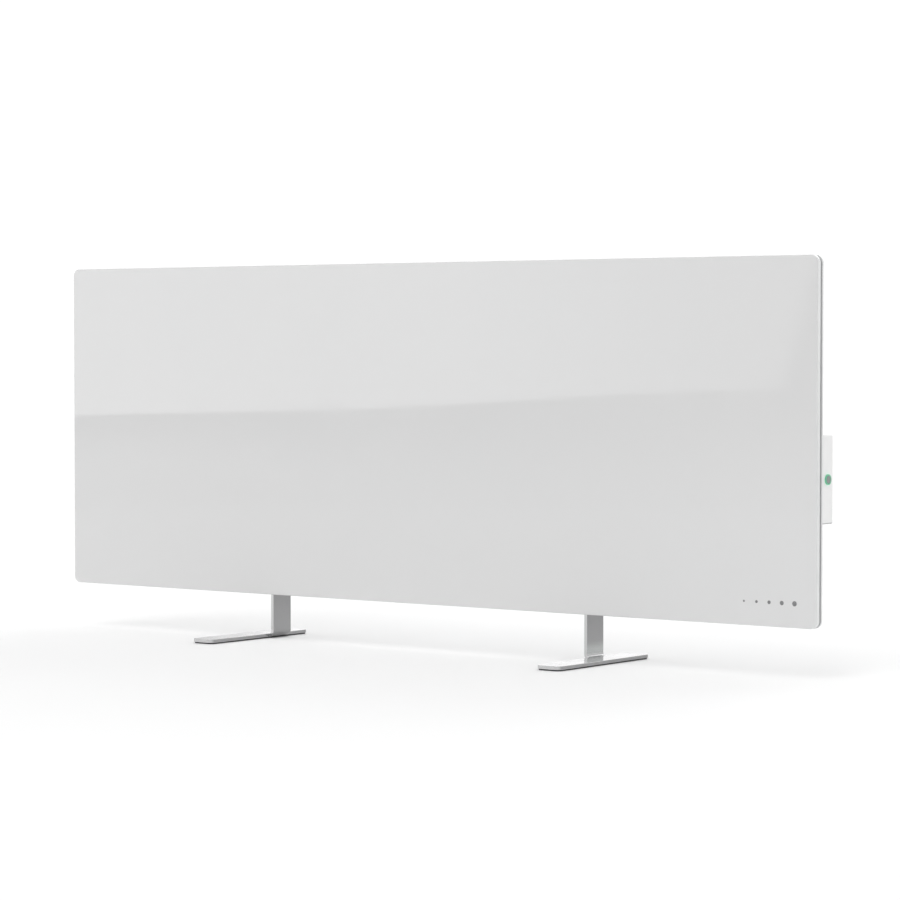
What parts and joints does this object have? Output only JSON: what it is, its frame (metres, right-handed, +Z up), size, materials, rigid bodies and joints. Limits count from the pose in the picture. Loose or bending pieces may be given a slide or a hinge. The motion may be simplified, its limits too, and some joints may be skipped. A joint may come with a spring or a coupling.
{
  "type": "glass panel heater",
  "caption": "Slim white glass panel heater on two bent metal feet, with heating layers between its panes and a rear control box with a ringed push button.",
  "frame": {"origin": "on the floor, midway between the two feet and midway along their plates", "axes": "+X along the panel to the right as seen from the front, +Y from the front towards the back, +Z up"},
  "size_m": [1, 0.164, 0.4146],
  "materials": {
    "white_glass": "white enamelled behind, polished",
    "seal_rubber": "matte silicone",
    "clear_film": "thin sheet",
    "foil_metal": "rolled foil",
    "copper": "bright",
    "insulation": "felted sheet",
    "lead_sleeve": "silicone sleeve",
    "component_dark": "moulded",
    "component_green": "moulded",
    "component_blue": "dipped",
    "fuse_glass": "clear tube",
    "block_metal": "machined",
    "bond": "foam tape",
    "foot_metal": "satin anodised",
    "pad_rubber": "matte",
    "fastener_steel": "zinc plated",
    "box_plastic": "fine moulded texture",
    "inner_plastic": "moulded",
    "board": "solder mask",
    "ring_light": "translucent, lit green",
    "button_plastic": "satin",
    "gland_plastic": "moulded"
  },
  "bodies": {
    "heater": {"front_glass": "white_glass", "rear_glass": "white_glass", "perimeter_seal": "seal_rubber", "heating_film": "clear_film", "heating_trace": "foil_metal", "trace_terminals": "copper", "cover_film": "clear_film", "insulation_sheet": "insulation", "reflector_foil": "foil_metal", "heater_leads": "lead_sleeve", "lead_grommets": "seal_rubber", "surface_sensor": "component_dark", "block_lower_left": "block_metal", "block_lower_right": "block_metal", "block_upper_left": "block_metal", "block_upper_right": "block_metal", "block_bonds": "bond", "foot_left": "foot_metal", "foot_right": "foot_metal", "foot_pad_left": "pad_rubber", "foot_pad_right": "pad_rubber", "foot_bolts": "fastener_steel", "foot_washers": "fastener_steel", "box_tape": "bond", "box_base": "inner_plastic", "box_cover": "box_plastic", "cover_screws": "fastener_steel", "control_board": "board", "board_screws": "fastener_steel", "relay": "component_dark", "mains_clamps": "component_green", "clamp_screws": "fastener_steel", "fuse": "fuse_glass", "fuse_clips": "copper", "varistor": "component_blue", "transformer_core": "component_dark", "transformer_winding": "copper", "smoothing_capacitor": "component_dark", "radio_board": "board", "radio_shield": "fastener_steel", "tilt_switch": "fastener_steel", "tact_switch": "component_dark", "ring_leds": "ring_light", "light_ring": "ring_light", "thermal_cutout": "component_dark", "cutout_leads": "lead_sleeve", "cord_gland": "gland_plastic", "gland_nut": "gland_plastic", "gland_cap": "gland_plastic", "gland_seal": "pad_rubber"},
    "power_button": {"button_cap": "button_plastic", "switch_plunger": "component_dark"}
  },
  "joints": [
    {"name": "power_button_press", "type": "slide", "parent": "heater", "child": "power_button", "axis": [-1, 0, 0], "range_m": [0, 0.0008], "stiffness_N_per_m": 600, "springref_m": -0.001}
  ]
}
